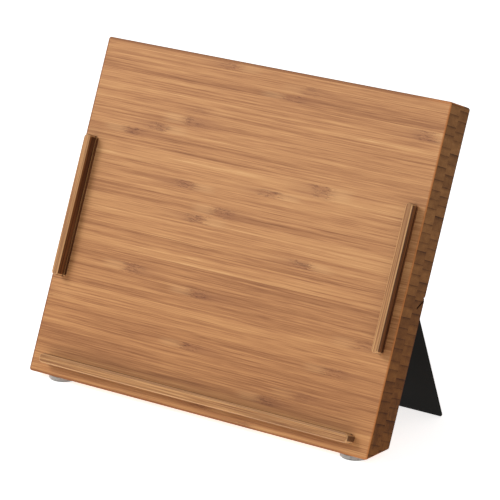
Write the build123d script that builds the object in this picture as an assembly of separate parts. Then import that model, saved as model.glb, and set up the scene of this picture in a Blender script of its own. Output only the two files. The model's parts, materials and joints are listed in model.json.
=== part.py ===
from build123d import *

import math
import os

# A slanting bamboo board that holds a photo album, a book or a tablet upright.
#
# The board is two glued bamboo plies that lean back on two silicone feet. A bent black steel
# leg is pushed into a saw kerf across the back, a ledge carries the album and two side rails
# keep it in the middle. Sizes are in millimetres and angles in degrees. X runs across the
# width, -Y is the front and +Z is up. The origin is on the table, under the middle of the
# whole stand.

# Board
WIDTH = 260.0              # across the front
SLANT_HEIGHT = 215.0       # up the front face
PLY = 10.5                 # thickness of each of the two plies
LEAN = 22.5                # how far the board leans back from upright
CORNER_R = 1.6             # rounding of the four corners, seen from the front
ARRIS_R = 0.7              # easing of the edges round the front and back faces

# Side rails and ledge, measured on the front face
PROUD = 7.8                # how far the rails and the ledge stand off the face
RAIL_WIDTH = 5.0
RAIL_INSET = 6.0           # from the board's side to the rail's foot
RAIL_SPLAY = 8.0           # the rails tip outwards, so an album drops in easily
RAIL_START = 62.0          # height of the rails' lower ends up the face
RAIL_LENGTH = 90.0
GROOVE_WIDTH = 1.0         # page groove along the inner side of each rail
GROOVE_DEPTH = 1.1
GROOVE_LIP = 1.5           # between the board's face and the groove
LEDGE_START = 7.0          # height of the ledge's underside up the face
LEDGE_HEIGHT = 6.0
LEDGE_END_GAP = 11.5       # from the board's side to the ledge's end
RAIL_END_FLAT = 0.6        # left between the roundings of a rail's end, seen from the front
LEDGE_END_FLAT = 0.4       # the same at the ledge's ends, which are almost half round
STRIP_EDGE_R = 1.1         # rounding of the strips' front edges

# Dowels that hold the strips
DOWEL_R = 1.0
DOWEL_IN_BOARD = 7.0
DOWEL_IN_STRIP = 5.0
DOWEL_END_GAP = 0.4        # glue pocket at each end
DOWEL_GLUE = 0.04          # glue film round each dowel
RAIL_DOWEL_INSET = 14.0    # from the rail's ends
LEDGE_DOWEL_INSET = 20.0   # from the ledge's ends

# Saw kerf and steel leg
KERF_HEIGHT = 99.5         # middle of the kerf's mouth, up the back face
KERF_ANGLE = 44.2          # between the kerf and the back face
KERF_PLAY = 0.1            # on each side of the steel
KERF_DEPTH = 9.2           # along the kerf, from the middle of its mouth
LEAD_IN_DEPTH = 1.1        # the kerf's upper lip is cut back this far, as a lead-in
LEAD_IN_RISE = 1.4         # and this far above the kerf's middle
SHEET = 1.0                # steel thickness
FLANGE_TIP_GAP = 0.3       # between the flange and the kerf's end
BEND_INNER_R = 1.0
PLATE_STAND_OFF = 1.05     # from the kerf's mouth to the middle of the plate
PLATE_INSET = 8.7          # from the board's side to the plate at its bend
EAR_INSET = 0.6            # from the board's side to the flange's ends
PLATE_TAPER = 3.8          # each side of the plate comes in this far on its way down
PLATE_CORNER_R = 2.0       # the plate's lower corners
EAR_CORNER_R = 1.5         # the flange's inner corners
SHEET_EDGE_R = 0.3         # deburred edges of the plate
LEVEL_CUT = 0.15           # ground off the plate's lower edge, so that the leg stands level

# Feet
FOOT_R = 9.6
FOOT_HEIGHT = 3.4
FOOT_EDGE_R = 1.0
FOOT_BACK = 10.4           # from the board's front edge to the middle of a foot
FOOT_INSET_LEFT = 20.2     # from the board's sides; the feet are stuck on by hand
FOOT_INSET_RIGHT = 15.0

THICKNESS = 2 * PLY
KERF_WIDTH = SHEET + 2 * KERF_PLAY
RAIL_END_R = (RAIL_WIDTH - RAIL_END_FLAT) / 2
LEDGE_END_R = (LEDGE_HEIGHT - LEDGE_END_FLAT) / 2
LEAN_RAD = math.radians(LEAN)
SIN, COS, TAN = math.sin(LEAN_RAD), math.cos(LEAN_RAD), math.tan(LEAN_RAD)
BEVEL = THICKNESS * TAN    # how much shorter the back face is than the front face

# The board's own plane: x across, y up the front face, z out of the front face.
BOARD = Plane(origin=(0, 0, FOOT_HEIGHT), x_dir=(1, 0, 0), z_dir=(0, -COS, SIN))

# The leg's own plane: x out of the kerf, y square to it, z across the width.
LEG_RISE = 90 - LEAN - KERF_ANGLE
LEG_RAD = math.radians(LEG_RISE)
KERF_MOUTH = BOARD.from_local_coords(Vector(0, KERF_HEIGHT, -THICKNESS))
LEG = Plane(origin=KERF_MOUTH, x_dir=(0, math.cos(LEG_RAD), math.sin(LEG_RAD)), z_dir=(1, 0, 0))


def easing(solid, corner_r, edge_r, both_faces):
    """Round the corners that join a slab's two Z faces, then the edges round those faces."""
    faces = solid.faces().sort_by(Axis.Z)
    solid = fillet(solid.edges() - faces[0].edges() - faces[-1].edges(), corner_r)
    faces = solid.faces().sort_by(Axis.Z)
    rim = faces[-1].outer_wire().edges()
    if both_faces:
        rim += faces[0].outer_wire().edges()
    return fillet(rim, edge_r)


def board_blank():
    """The glued board before any cut, in the board's plane, with a level underside."""
    side = Polyline((0, 0), (SLANT_HEIGHT, 0), (SLANT_HEIGHT, -THICKNESS), (BEVEL, -THICKNESS), close=True)
    slab = extrude(Plane.YZ * make_face(side), WIDTH / 2, both=True)
    return easing(slab, CORNER_R, ARRIS_R, both_faces=True)


def rail():
    """The right-hand rail in the board's plane: a splayed bar with a page groove inside."""
    foot = WIDTH / 2 - RAIL_INSET - RAIL_WIDTH
    slope = math.tan(math.radians(RAIL_SPLAY))
    section = Polyline((foot, 0), (foot + RAIL_WIDTH, 0), (foot + RAIL_WIDTH + PROUD * slope, PROUD),
                       (foot + PROUD * slope, PROUD), close=True)
    start = Plane(origin=(0, RAIL_START, 0), x_dir=(1, 0, 0), z_dir=(0, -1, 0))
    bar = extrude(start * make_face(section), -RAIL_LENGTH)
    bar = easing(bar, RAIL_END_R, STRIP_EDGE_R, both_faces=False)
    groove_floor = foot + (GROOVE_LIP + GROOVE_WIDTH / 2) * slope + GROOVE_DEPTH
    groove = Box(RAIL_WIDTH, 2 * RAIL_LENGTH, GROOVE_WIDTH, align=(Align.MAX, Align.CENTER, Align.MIN))
    return bar - Pos(groove_floor, RAIL_START, GROOVE_LIP) * groove


def ledge():
    """The bar along the bottom that carries the album, in the board's plane."""
    length = WIDTH - 2 * LEDGE_END_GAP
    bar = Box(length, LEDGE_HEIGHT, PROUD, align=(Align.CENTER, Align.MIN, Align.MIN))
    return easing(Pos(0, LEDGE_START, 0) * bar, LEDGE_END_R, STRIP_EDGE_R, both_faces=False)


def rail_dowel_places():
    """Two dowels in the right-hand rail, behind the bottom of its page groove."""
    x = WIDTH / 2 - RAIL_INSET - (RAIL_WIDTH - GROOVE_DEPTH) / 2 + DOWEL_R / 4
    return [(x, RAIL_START + RAIL_DOWEL_INSET), (x, RAIL_START + RAIL_LENGTH - RAIL_DOWEL_INSET)]


def ledge_dowel_places():
    """Three dowels along the ledge."""
    reach = WIDTH / 2 - LEDGE_END_GAP - LEDGE_DOWEL_INSET
    return [(x, LEDGE_START + LEDGE_HEIGHT / 2) for x in (-reach, 0, reach)]


def pegs(places, glue=0.0, end_gap=0.0):
    """A dowel at each place, half in the board and half in its strip; with gaps, the holes."""
    low, high = -DOWEL_IN_BOARD - end_gap, DOWEL_IN_STRIP + end_gap
    peg = Pos(0, 0, (low + high) / 2) * Cylinder(DOWEL_R + glue, high - low)
    return [Pos(x, y, 0) * peg for x, y in places]


def mirrored(places):
    return [(-x, y) for x, y in places]


def kerf_cutter():
    """The saw cut for the leg's flange and its lead-in, in the leg's plane, right across the board."""
    run_out = 2 * KERF_WIDTH
    slot = Rectangle(KERF_DEPTH + run_out, KERF_WIDTH, align=(Align.MIN, Align.CENTER))
    lead_in = Rectangle(LEAD_IN_DEPTH + run_out, LEAD_IN_RISE, align=(Align.MIN, Align.MIN))
    section = Pos(-KERF_DEPTH, 0) * slot + Pos(-LEAD_IN_DEPTH, 0) * lead_in
    return extrude(section, WIDTH / 2 + run_out, both=True)


def leg():
    """The bent steel sheet, in the leg's plane: a flange for the kerf and a plate to the table.

    The plate ends LEVEL_CUT too low, and stand() grinds that off level with the table.
    """
    flange_tip = FLANGE_TIP_GAP - KERF_DEPTH
    inside = PLATE_STAND_OFF - SHEET / 2       # face of the plate towards the board
    outside = inside + SHEET
    top, under = SHEET / 2, -SHEET / 2         # the flange's two faces
    bend_u, bend_w = inside - BEND_INNER_R, under - BEND_INNER_R
    slant = math.sqrt(0.5)                     # half way round the bend
    rounding = SHEET_EDGE_R * (math.sin(LEG_RAD) + math.cos(LEG_RAD) - 1)
    reach = KERF_MOUTH.Z + inside * math.sin(LEG_RAD) + rounding + LEVEL_CUT
    drop = reach / math.cos(LEG_RAD)

    outer_r = BEND_INNER_R + SHEET
    outer_mid, inner_mid = outer_r * slant, BEND_INNER_R * slant
    outline = Polyline((bend_u, under), (flange_tip, under), (flange_tip, top), (bend_u, top))
    outline += ThreePointArc((bend_u, top), (bend_u + outer_mid, bend_w + outer_mid), (outside, bend_w))
    outline += Polyline((outside, bend_w), (outside, -drop), (inside, -drop), (inside, bend_w))
    outline += ThreePointArc((inside, bend_w), (bend_u + inner_mid, bend_w + inner_mid), (bend_u, under))
    half_plate = WIDTH / 2 - PLATE_INSET
    plate = extrude(make_face(outline), half_plate + PLATE_TAPER, both=True)
    taper = math.degrees(math.asin(PLATE_TAPER / (drop + bend_w)))
    trim = Box(4 * KERF_DEPTH, 4 * drop, 4 * PLATE_TAPER, align=(Align.CENTER, Align.CENTER, Align.MIN))
    trim = Pos(0, bend_w, half_plate) * Rot(taper, 0, 0) * trim
    plate -= [trim, mirror(trim, Plane.XY)]
    plate = fillet(plate.edges().filter_by(Axis.X).sort_by(Axis.Y)[:2], PLATE_CORNER_R)
    broad = plate.faces().filter_by(Axis.X).sort_by(SortBy.AREA)[-2:]
    rims = [edge for face in broad for edge in face.outer_wire().edges() if edge.center().Y < bend_w - SHEET]
    plate = fillet(rims, SHEET_EDGE_R)
    ears = Pos(flange_tip / 2, 0, 0) * Box(-flange_tip, SHEET, WIDTH - 2 * EAR_INSET)
    ears = fillet(ears.edges().filter_by(Axis.Y).sort_by(Axis.X)[:2], EAR_CORNER_R)
    return plate + ears


def foot(x):
    """A clear silicone bumper, stuck under the board's level underside."""
    disc = Pos(x, FOOT_BACK, FOOT_HEIGHT / 2) * Cylinder(FOOT_R, FOOT_HEIGHT)
    return fillet(disc.edges().sort_by(Axis.Z)[0], FOOT_EDGE_R)


def stand():
    """Every piece in its place on the table, by name, before the origin is centred."""
    glue_line = Plane(origin=(0, 0, -PLY))
    blank = board_blank()
    front_ply = split(blank, glue_line, keep=Keep.TOP)
    back_ply = split(blank, glue_line, keep=Keep.BOTTOM)
    kerf = BOARD.location.inverse() * LEG.location * kerf_cutter()

    right_rail, bottom_ledge = rail(), ledge()
    left_rail = mirror(right_rail, Plane.YZ)
    rail_places, ledge_places = rail_dowel_places(), ledge_dowel_places()
    strips = {"rail_right": (right_rail, rail_places),
              "rail_left": (left_rail, mirrored(rail_places)),
              "ledge": (bottom_ledge, ledge_places)}
    pieces = {}
    for name, (strip, places) in strips.items():
        holes = pegs(places, DOWEL_GLUE, DOWEL_END_GAP)
        front_ply -= holes
        pieces[name] = strip - holes
        pieces[name + "_dowels"] = Compound(children=pegs(places))
    pieces["front_ply"] = front_ply
    pieces["back_ply"] = back_ply - kerf
    placed = {name: BOARD.location * piece for name, piece in pieces.items()}
    placed["leg"] = split(LEG.location * leg(), Plane.XY, keep=Keep.TOP)
    placed["foot_left"] = foot(FOOT_INSET_LEFT - WIDTH / 2)
    placed["foot_right"] = foot(WIDTH / 2 - FOOT_INSET_RIGHT)
    return placed


def centring(placed):
    """The move that puts the origin under the middle of the stand's box."""
    box = Compound(list(placed.values())).bounding_box()
    return Pos(0, -box.center().Y, -box.min.Z)


PLACED = stand()
CENTRING = centring(PLACED)
os.makedirs("parts", exist_ok=True)
for node, shape in PLACED.items():
    export_step(CENTRING * shape, f"parts/{node}.step")
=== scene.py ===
import json
import math

import bpy
from mathutils import Matrix, Vector


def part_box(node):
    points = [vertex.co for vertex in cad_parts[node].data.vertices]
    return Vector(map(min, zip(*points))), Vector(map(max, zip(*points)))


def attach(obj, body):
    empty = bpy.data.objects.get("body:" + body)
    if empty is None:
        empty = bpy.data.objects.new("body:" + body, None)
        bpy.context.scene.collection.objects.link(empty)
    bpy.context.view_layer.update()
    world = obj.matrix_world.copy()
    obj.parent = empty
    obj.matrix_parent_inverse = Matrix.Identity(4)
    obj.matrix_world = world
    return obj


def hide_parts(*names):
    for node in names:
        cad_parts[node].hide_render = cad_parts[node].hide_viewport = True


# The finish of a slanting bamboo album stand: two glued bamboo plies with their grain across
# the width, bamboo side rails and ledge, a black powder-coated steel leg and two clear
# silicone feet. Everything is in metres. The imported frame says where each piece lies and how
# large it is.

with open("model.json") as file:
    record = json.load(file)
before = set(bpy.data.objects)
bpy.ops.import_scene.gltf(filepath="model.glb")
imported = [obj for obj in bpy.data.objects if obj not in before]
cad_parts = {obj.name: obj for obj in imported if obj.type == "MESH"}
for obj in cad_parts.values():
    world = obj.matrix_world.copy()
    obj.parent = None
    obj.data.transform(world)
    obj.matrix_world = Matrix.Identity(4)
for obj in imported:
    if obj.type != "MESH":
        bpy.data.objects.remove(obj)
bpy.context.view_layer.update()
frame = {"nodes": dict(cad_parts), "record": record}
nodes = frame["nodes"]


def reach(node, start, way):
    """How far a CAD node reaches from a point in one direction."""
    return max((vertex.co - start).dot(way) for vertex in nodes[node].data.vertices)


# The board's own frame: x across, depth from the front face into the wood, rise up the face.
MOUNTS = {mount["name"]: mount for mount in frame["record"]["mounts"]}
FACE_POINT = Vector(MOUNTS["album_face"]["pos_m"])
FACE_NORMAL = Vector(MOUNTS["album_face"]["axis"])
LEAN = math.atan2(FACE_NORMAL.z, -FACE_NORMAL.y)
UPHILL = Vector((0, math.sin(LEAN), math.cos(LEAN)))
PLY_LOW, PLY_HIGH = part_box("front_ply")
FOOT_OF_FACE = FACE_POINT - UPHILL * ((FACE_POINT.z - PLY_LOW.z) / UPHILL.z)
HALF_WIDTH = PLY_HIGH.x
FACE_HEIGHT = reach("front_ply", FOOT_OF_FACE, UPHILL)
BOARD_DEPTH = reach("back_ply", FACE_POINT, -FACE_NORMAL)


def srgb(red, green, blue):
    """A linear colour from 0 to 255 display values."""
    return tuple((c / 255 / 12.92) if c <= 10 else ((c / 255 + 0.055) / 1.055) ** 2.4
                 for c in (red, green, blue))


class Wire:
    """A node's output. Arithmetic on wires adds Math nodes, and node() adds any other node."""

    def __init__(self, tree, socket=None):
        self.tree = tree
        self.socket = socket

    def node(self, kind, settings, sockets, output=0):
        made = self.tree.nodes.new(kind)
        for name, value in settings.items():
            if name == "stops":
                ends = made.color_ramp.elements
                ends[0].position, ends[1].position = value[0][0], value[-1][0]
                ends[0].color, ends[1].color = (*value[0][1], 1), (*value[-1][1], 1)
                for place, colour in value[1:-1]:
                    ends.new(place).color = (*colour, 1)
            else:
                setattr(made, name, value)
        for name, value in sockets.items():
            if isinstance(value, Wire):
                self.tree.links.new(value.socket, made.inputs[name])
            else:
                made.inputs[name].default_value = value
        return Wire(self.tree, made.outputs[output])

    def other(self, output):
        """Another output of the same node."""
        return Wire(self.tree, self.socket.node.outputs[output])

    def math(self, operation, *values):
        return self.node("ShaderNodeMath", {"operation": operation}, dict(enumerate(values)))

    def __add__(self, value):
        return self.math("ADD", self, value)

    def __sub__(self, value):
        return self.math("SUBTRACT", self, value)

    def __rsub__(self, value):
        return self.math("SUBTRACT", value, self)

    def __mul__(self, value):
        return self.math("MULTIPLY", self, value)

    def __abs__(self):
        return self.math("ABSOLUTE", self)

    __radd__ = __add__
    __rmul__ = __mul__

    def low(self, value):
        return self.math("MINIMUM", self, value)

    def high(self, value):
        return self.math("MAXIMUM", self, value)

    def ease(self, start, end):
        """0 before start, 1 after end, smooth between. start may be the larger."""
        return self.node("ShaderNodeMapRange", {"interpolation_type": "SMOOTHSTEP"},
                         {"Value": self, "From Min": start, "From Max": end})

    def ramp(self, *stops):
        return self.node("ShaderNodeValToRGB", {"stops": stops}, {"Fac": self})

    def mix(self, other, amount, blend="MIX"):
        """This colour with another one over it, which is a wire or three linear values."""
        over = other if isinstance(other, Wire) else (*other, 1)
        return self.node("ShaderNodeMix", {"data_type": "RGBA", "blend_type": blend},
                         {0: amount, 6: self, 7: over}, 2)

    def split(self):
        parts = self.node("ShaderNodeSeparateXYZ", {}, {0: self})
        return parts, parts.other(1), parts.other(2)


def scaled(place, per_metre, shift=None):
    """A place of three wires, stretched by three numbers into one vector."""
    first, second, third = (part * scale for part, scale in zip(place, per_metre))
    if shift is not None:
        first = first + shift
    return first.node("ShaderNodeCombineXYZ", {}, {0: first, 1: second, 2: third})


def noise(place, per_metre, detail, roughness, distortion=0.0, shift=None):
    """Noise whose grain is 1 / per_metre long in each direction."""
    at = scaled(place, per_metre, shift)
    return at.node("ShaderNodeTexNoise", {}, {"Vector": at, "Scale": 1.0, "Detail": detail,
                                              "Roughness": roughness, "Distortion": distortion})


def new_material(name):
    """A material with an empty tree and a wire to build from."""
    material = bpy.data.materials.new(name)
    material.use_nodes = True
    material.node_tree.nodes.clear()
    return material, Wire(material.node_tree)


def surface(wire, colour, roughness, relief, fixed):
    """The Principled shader and the output that end every material."""
    sockets = {"Base Color": colour, "Roughness": roughness, **fixed}
    if relief is not None:
        sockets["Normal"] = relief
    shader = wire.node("ShaderNodeBsdfPrincipled", {}, sockets)
    end = wire.tree.nodes.new("ShaderNodeOutputMaterial")
    wire.tree.links.new(shader.socket, end.inputs["Surface"])


def bump(height, strength, distance):
    return height.node("ShaderNodeBump", {}, {"Strength": strength, "Distance": distance, "Height": height})


def object_place(wire):
    """x, y and z of a point."""
    return wire.node("ShaderNodeTexCoord", {}, {}, "Object").split()


def board_place(wire):
    """x, depth and rise of a point, and the size of its normal along each of them."""
    turned = Matrix.Rotation(LEAN, 3, "X")
    at = wire.node("ShaderNodeTexCoord", {}, {}, "Object")
    at = wire.node("ShaderNodeMapping", {"vector_type": "POINT"},
                   {"Vector": at, "Rotation": (LEAN, 0, 0), "Location": -(turned @ FOOT_OF_FACE)})
    normal = wire.node("ShaderNodeTexCoord", {}, {}, "Normal")
    normal = wire.node("ShaderNodeMapping", {"vector_type": "NORMAL"},
                       {"Vector": normal, "Rotation": (LEAN, 0, 0)})
    return at.split(), [abs(part) for part in normal.split()]


# ---- Bamboo board
LAMELLA = 0.0064           # height of a lamella
KNUCKLE_SPREAD = 0.3       # width that the knuckles are scattered over
KNUCKLE = 0.014            # how far each way a knuckle waves the grain
WAVE = 0.0022              # how far the grain is waved there
TAIL = 0.036               # length of the brown tail that runs up to a knuckle
PATCH = 0.014              # how far past the knuckle its pale patch lies

# The dark line along each edge of the board: how far in it starts, and where it is full.
SIDE_LINE = (0.0015, 0.0007)
TOP_LINE = (0.0022, 0.0012)
BOTTOM_LINE = (0.0020, 0.0010)
BACK_LINE = (0.0014, 0.0006)


def lamella_rows(rise, seed, joint_shift):
    """How far up its own lamella a point lies, and three random numbers of that lamella."""
    wander = rise.node("ShaderNodeTexNoise", {"noise_dimensions": "1D"},
                       {"W": rise * 75.0 + seed, "Scale": 1.0})
    row_place = rise * (1 / LAMELLA) + (wander * 0.9 + joint_shift)
    row = row_place.math("FLOOR", row_place)
    own = row.node("ShaderNodeTexWhiteNoise", {"noise_dimensions": "1D"}, {"W": row * 1.37 + seed}, "Color")
    return row_place - row, own.split()


def bamboo_face(place, within, own):
    """The long grain: its colour, streaks, fibres and the seams between lamellas."""
    x, depth, rise = place
    tone, knuckle_x, strength = own
    own_shift = tone * 3.7

    # Knuckles, where the cane had its joints: the grain waves round them.
    from_knuckle = x - (knuckle_x * KNUCKLE_SPREAD - KNUCKLE_SPREAD / 2)
    has_knuckle = strength.ease(0.1, 0.3)
    near = abs(from_knuckle).ease(KNUCKLE, 0.003) * has_knuckle
    swirl = noise(place, (170.0, 300.0, 420.0), 2.0, 0.6, 1.2)
    waved = rise + near * (swirl - 0.5) * WAVE
    waved_place = (x, depth, waved)

    broad = noise(waved_place, (4.5, 90.0, 260.0), 3.0, 0.55, shift=own_shift)
    streak = noise(waved_place, (10.0, 300.0, 1050.0), 3.0, 0.62, shift=own_shift)
    fibre = noise(waved_place, (45.0, 900.0, 3400.0), 2.0, 0.6, shift=own_shift)
    shade = (tone - 0.5) * 0.2 + (broad - 0.5) * 0.62 + (streak - 0.5) * 1.15 \
        + (fibre - 0.5) * 0.8 + 0.46
    face = shade.ramp((0.0, srgb(120, 74, 44)), (0.26, srgb(160, 107, 67)), (0.5, srgb(189, 134, 87)),
                      (0.72, srgb(206, 153, 101)), (1.0, srgb(228, 182, 128)))

    # A brown tail runs up to each knuckle from one side, with dark dashes and then a pale patch.
    inside = within.ease(0.02, 0.2) * within.ease(0.98, 0.8)
    way = tone.math("GREATER_THAN", tone, 0.5) * 2.0 - 1.0
    along_cane = from_knuckle * way
    tail = along_cane.ease(-TAIL, -0.002) * along_cane.ease(0.007, 0.001) * has_knuckle
    face = face.mix(srgb(148, 96, 64), tail * inside * 0.42)
    dashes = noise(waved_place, (80.0, 300.0, 1500.0), 3.0, 0.6, 1.4).ease(0.50, 0.58)
    face = face.mix(srgb(100, 58, 42), dashes * near * inside * 0.62)
    pale = abs(along_cane - PATCH).ease(0.012, 0.002) * has_knuckle * inside
    face = face.mix(srgb(214, 168, 118), pale * 0.25)

    # Painted shade: the face darkens a little towards its foot.
    face = face.mix(srgb(250, 244, 234), rise.ease(0.16, 0.0), "MULTIPLY")
    seam = abs(within - 0.5).ease(0.47, 0.5)
    face = face.mix(srgb(140, 88, 50), seam * strength * 0.28)
    return face, streak, fibre, seam


def end_grain(place, within, own):
    """Sawn ends of the fibres, on the board's two sides: densest and darkest at each lamella's skin."""
    rise = place[2]
    tone, _, strength = own
    grain = scaled(place, (300.0, 1900.0, 1900.0))
    pores = grain.node("ShaderNodeTexVoronoi", {}, {"Vector": grain, "Scale": 1.0}, "Distance")
    pores = pores.ease(0.45, 0.12)
    cloud = noise(place, (40.0, 160.0, 260.0), 4.0, 0.65)
    dust = noise(place, (300.0, 2600.0, 2600.0), 2.0, 0.7)
    skin = within.ease(0.62, 1.0)
    joint = within.ease(0.90, 1.0) * (strength * 0.7 + 0.3)
    shade = (tone - 0.5) * 0.2 + (cloud - 0.5) * 0.6 + (dust - 0.5) * 0.6 - pores * skin * 0.22 \
        - skin * 0.16 - joint * 0.34 + 0.62
    end = shade.ramp((0.0, srgb(45, 22, 7)), (0.35, srgb(90, 55, 26)), (0.6, srgb(117, 77, 41)),
                     (1.0, srgb(152, 106, 62)))
    # Painted shade: the sides darken towards the foot of the board.
    end = end.mix(srgb(228, 210, 176), rise.ease(0.19, 0.02), "MULTIPLY")
    stain = noise(place, (40.0, 150.0, 110.0), 3.0, 0.6).ease(0.52, 0.64)
    return end.mix(srgb(58, 26, 8), stain * rise.ease(0.1, 0.03) * 0.45)


def edge_line(place, edge, line):
    """1 on the dark line along an edge, 0 further in."""
    return place.ease(edge - line[0], edge - line[1])


def arrises_and_highlight(place, facing, fibre):
    """The colour of the rounded arrises, with a painted highlight along the right side, and how far it
    covers a point.
    """
    x, depth, rise = place
    side, out, up = facing
    rounded = side.high(out).high(up).ease(0.96, 0.84)
    rim = edge_line(abs(x), HALF_WIDTH, SIDE_LINE) \
        .high(edge_line(rise, FACE_HEIGHT, TOP_LINE)) \
        .high(rise.ease(*BOTTOM_LINE))
    back_rim = edge_line(depth, BOARD_DEPTH, BACK_LINE) * side
    arris_cover = (rounded * (fibre + 0.5)).high(rim * out.ease(0.3, 0.6) * 0.75).high(back_rim * 0.9)
    # Painted highlight: paler near the right side, where the front arris catches the light. Darker towards
    # the back.
    edge = x.ease(0.10, 0.125).ramp((0.0, srgb(118, 60, 20)), (1.0, srgb(176, 106, 52)))
    edge = edge.mix(srgb(78, 34, 10), depth.ease(0.012, 0.016))
    return edge, arris_cover.low(1.0) * 0.85


def bamboo_ply(name, seed, joint_shift):
    """One ply of the board: lamellas on edge, their grain across the width."""
    material, wire = new_material(name)
    place, facing = board_place(wire)
    side = facing[0]
    within, own = lamella_rows(place[2], seed, joint_shift)
    face, streak, fibre, seam = bamboo_face(place, within, own)
    colour = face.mix(end_grain(place, within, own), side.ease(0.6, 0.85))
    colour = colour.mix(*arrises_and_highlight(place, facing, fibre))
    roughness = (fibre - 0.5) * 0.25 + side * 0.4 + 0.55
    relief = bump(streak * 0.6 + fibre * 0.5 - seam * 0.3, 0.35, 0.00012)
    surface(wire, colour, roughness, relief, {"IOR": 1.45, "Specular IOR Level": 0.3})
    return material


# ---- Bamboo strips
GROOVE = (0.0015, 0.0024)  # where the page groove starts and ends in front of the board's face


def bamboo_strip(name, along, skin):
    """A strip whose grain runs along x ("x") or up the board ("rise").

    skin is how dark its flanks are made, from 0 to 1: the cane's dark skin and painted shade.
    """
    material, wire = new_material(name)
    (x, depth, rise), (side, out, up) = board_place(wire)
    run, cross, end_on, flank = (x, rise, side, up) if along == "x" else (rise, x, up, side)
    place = (run, depth, cross)

    broad = noise(place, (7.0, 260.0, 380.0), 2.0, 0.5)
    lines = noise(place, (11.0, 900.0, 1500.0), 2.0, 0.6)
    fibre = noise(place, (60.0, 2600.0, 3600.0), 2.0, 0.6)
    shade = (broad - 0.5) * 0.7 + (lines - 0.5) * 1.7 + (fibre - 0.5) * 0.6 + 0.5
    front = shade.ramp((0.0, srgb(106, 64, 35)), (0.3, srgb(152, 102, 61)), (0.55, srgb(186, 134, 84)),
                       (1.0, srgb(230, 182, 126)))
    pore_lines = noise(place, (9.0, 1500.0, 1900.0), 1.0, 0.5).ease(0.52, 0.6)
    front = front.mix(srgb(102, 62, 38), pore_lines * 0.4)
    # Painted shade: the flanks are darkened for the cane's dark skin and for the shade they stand in.
    flank_skin_and_shade = shade.ramp((0.0, srgb(38, 17, 6)), (0.45, srgb(86, 46, 20)), (1.0, srgb(146, 92, 50)))
    ends = noise(place, (400.0, 2100.0, 2100.0), 3.0, 0.7) \
        .ramp((0.3, srgb(50, 28, 15)), (0.5, srgb(104, 68, 40)), (0.72, srgb(146, 102, 66)))
    colour = front.mix(flank_skin_and_shade, flank.ease(0.75, 0.93) * skin).mix(ends, end_on.ease(0.7, 0.9))

    # Painted highlight on the rounded edges, painted shade in the page groove and a painted shadow along
    # the line where the strip meets the board.
    rounded = side.high(out).high(up).ease(0.94, 0.8)
    colour = colour.mix(srgb(216, 168, 118), rounded * 0.5)
    # Painted shade: the page groove and the foot of each flank are darkened.
    groove = depth.ease(-GROOVE[1] - 0.0005, -GROOVE[1]) * depth.ease(-GROOVE[0] + 0.0004, -GROOVE[0])
    groove_and_contact_shade = (groove * 0.9).high(depth.ease(-0.0006, -0.0001) * 0.7)
    colour = colour.mix(srgb(30, 12, 4), groove_and_contact_shade * flank.ease(0.6, 0.9))
    roughness = (fibre - 0.5) * 0.25 + 0.48
    relief = bump(lines * 0.6 + fibre * 0.5, 0.4, 0.0001)
    surface(wire, colour, roughness, relief, {"IOR": 1.45, "Specular IOR Level": 0.3})
    return material


# ---- Steel
def powder_coat():
    """Black powder coat: a fine dull pebble, a little rubbed."""
    material, wire = new_material("black powder coat")
    place = object_place(wire)
    pebble = noise(place, (2400.0, 2400.0, 2400.0), 2.0, 0.5)
    cloud = noise(place, (30.0, 30.0, 30.0), 3.0, 0.6)
    colour = (cloud * 0.7 + pebble * 0.3).ramp((0.3, srgb(8, 8, 5)), (0.7, srgb(14, 13, 9)))
    roughness = (cloud - 0.5) * 0.2 + (pebble - 0.5) * 0.15 + 0.6
    surface(wire, colour, roughness, bump(pebble, 0.35, 0.00006), {"IOR": 1.5, "Specular IOR Level": 0.1})
    return material


def wear(piece, material):
    """Puts a material on a CAD node or a piece."""
    piece.data.materials.clear()
    piece.data.materials.append(material)


# ---- The CAD nodes keep their shape and get their finish.
wear(nodes["front_ply"], bamboo_ply("bamboo front ply", seed=3.0, joint_shift=0.0))
wear(nodes["back_ply"], bamboo_ply("bamboo back ply", seed=41.0, joint_shift=0.45))
# skin also sets how much painted shade darkens each strip's flanks.
rail_bamboo = bamboo_strip("bamboo rail", along="rise", skin=1.0)
ledge_bamboo = bamboo_strip("bamboo ledge", along="x", skin=0.3)
for node in ("rail_left", "rail_right", "rail_left_dowels", "rail_right_dowels", "ledge_dowels"):
    wear(nodes[node], rail_bamboo)
wear(nodes["ledge"], ledge_bamboo)
wear(nodes["leg"], powder_coat())


# ---- Feet
GLUE_EDGE = 0.0004         # how far the glue disc stays inside the skirt
GLUE_DEPTH = 0.0003
RIM_R = 0.0013             # rounding of the lower rim
RIM_STEPS = 8
SIDES = 96                 # flats round a foot
# The hollow underside: how far down each ring lies, and its share of the foot's radius.
HOLLOW = ((0.0, 0.62), (-0.0002, 0.55), (-0.00025, 0.40), (-0.0001, 0.12))


def silicone():
    """Clear silicone gone a little milky, with specks of dust, and darker towards its lower rim."""
    material, wire = new_material("clear silicone")
    place = object_place(wire)
    cloud = noise(place, (260.0, 260.0, 260.0), 3.0, 0.6)
    specks = noise(place, (1700.0, 1700.0, 1700.0), 2.0, 0.7).ease(0.62, 0.75)
    colour = cloud.ramp((0.3, srgb(150, 144, 138)), (0.7, srgb(172, 167, 162)))
    colour = colour.mix(srgb(120, 112, 104), specks * 0.3)
    colour = colour.mix(srgb(84, 80, 75), place[2].ease(RIM_R, 0.0004) * 0.8)
    roughness = (cloud - 0.5) * 0.3 + 0.3
    surface(wire, colour, roughness, bump(cloud, 0.2, 0.0001), {"Transmission Weight": 0.2, "IOR": 1.41})
    return material


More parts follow.
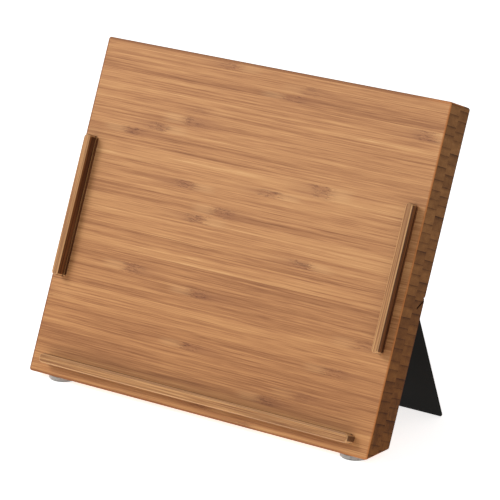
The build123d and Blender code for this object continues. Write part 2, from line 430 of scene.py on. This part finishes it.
def foot_profile(radius, height):
    """Each step down from the glue disc, with the radius it ends at."""
    steps = [(GLUE_DEPTH, radius - GLUE_EDGE), (0.0, radius), (height - GLUE_DEPTH - RIM_R, radius)]
    for step in range(RIM_STEPS):
        before, after = (math.pi / 2 * turn / RIM_STEPS for turn in (step, step + 1))
        steps.append((RIM_R * (math.sin(after) - math.sin(before)), radius - RIM_R * (1 - math.cos(after))))
    return steps + [(drop, radius * share) for drop, share in HOLLOW]


def foot(node, material):
    """A moulded bumper: glue disc, straight skirt, rounded rim and a hollow underside."""
    low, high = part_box(node)
    middle = (low + high) / 2
    radius = (high.x - low.x) / 2
    now = radius - GLUE_EDGE
    bpy.ops.object.select_all(action="DESELECT")
    bpy.ops.mesh.primitive_circle_add(vertices=SIDES, radius=now, fill_type="NGON",
                                      location=(middle.x, middle.y, high.z))
    piece = bpy.context.object
    piece.name = node.replace("foot", "bumper")
    bpy.ops.object.transform_apply(location=True, rotation=True, scale=True)
    bpy.ops.object.mode_set(mode="EDIT")
    for drop, next_radius in foot_profile(radius, high.z - low.z):
        bpy.ops.mesh.extrude_region_move(TRANSFORM_OT_translate={"value": (0, 0, -drop)})
        bpy.ops.transform.resize(value=(next_radius / now, next_radius / now, 1),
                                 center_override=(middle.x, middle.y, 0.0))
        now = next_radius
    bpy.ops.mesh.select_all(action="SELECT")
    bpy.ops.mesh.remove_doubles(threshold=0.000001)
    bpy.ops.mesh.normals_make_consistent(inside=False)
    bpy.ops.object.mode_set(mode="OBJECT")
    bpy.ops.object.shade_smooth_by_angle(angle=math.radians(40))
    wear(piece, material)
    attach(piece, "board")
    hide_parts(node)


foot_silicone = silicone()
foot("foot_left", foot_silicone)
foot("foot_right", foot_silicone)


# ---- Floor
UNDER_FEET = 0.0001        # how far the floor lies under the feet
bpy.ops.object.select_all(action="DESELECT")
bpy.ops.mesh.primitive_plane_add(size=12.0, location=(0, 0, -UNDER_FEET))
floor = bpy.context.object
floor.name = "floor"
pale_floor, floor_wire = new_material("pale floor")
surface(floor_wire, (0.92, 0.92, 0.92, 1), 0.9, None,
        {"Specular IOR Level": 0.0, "Emission Color": (1, 1, 1, 1), "Emission Strength": 0.75})
wear(floor, pale_floor)


# ---- Lights
world = bpy.data.worlds.new("studio")
bpy.context.scene.world = world
world.use_nodes = True
background = world.node_tree.nodes["Background"].inputs
background["Color"].default_value = (1.0, 1.0, 1.0, 1)
background["Strength"].default_value = 0.36
STAND_MIDDLE = Vector((0, 0, 0.1))


def softbox(name, place, size, power):
    """A square light that faces the middle of the stand."""
    light = bpy.data.lights.new(name, "AREA")
    light.shape, light.size, light.energy = "SQUARE", size, power
    lamp = bpy.data.objects.new(name, light)
    bpy.context.scene.collection.objects.link(lamp)
    lamp.location = place
    lamp.rotation_euler = (STAND_MIDDLE - Vector(place)).to_track_quat("-Z", "Y").to_euler()


softbox("key", place=(-1.5, -1.5, 1.7), size=1.1, power=35.0)
softbox("fill", place=(1.6, -1.2, 0.9), size=1.4, power=3.0)


# ---- Camera: where it looks, how far round to the right and above, and how far away
AIM = Vector((0.0093, -0.0029, 0.0975))
TURN, RISE, AWAY = math.radians(37.58), math.radians(17.47), 2.1140
camera = bpy.data.objects.new("camera", bpy.data.cameras.new("camera"))
bpy.context.scene.collection.objects.link(camera)
toward = Vector((math.sin(TURN) * math.cos(RISE), -math.cos(TURN) * math.cos(RISE), math.sin(RISE)))
camera.location = AIM + toward * AWAY
camera.rotation_euler = (-toward).to_track_quat("-Z", "Y").to_euler()
camera.data.lens, camera.data.sensor_width = 252.0, 36.0
camera.data.clip_start, camera.data.clip_end = 0.05, 50.0
bpy.context.scene.camera = camera
bpy.context.scene.view_settings.view_transform = "Standard"
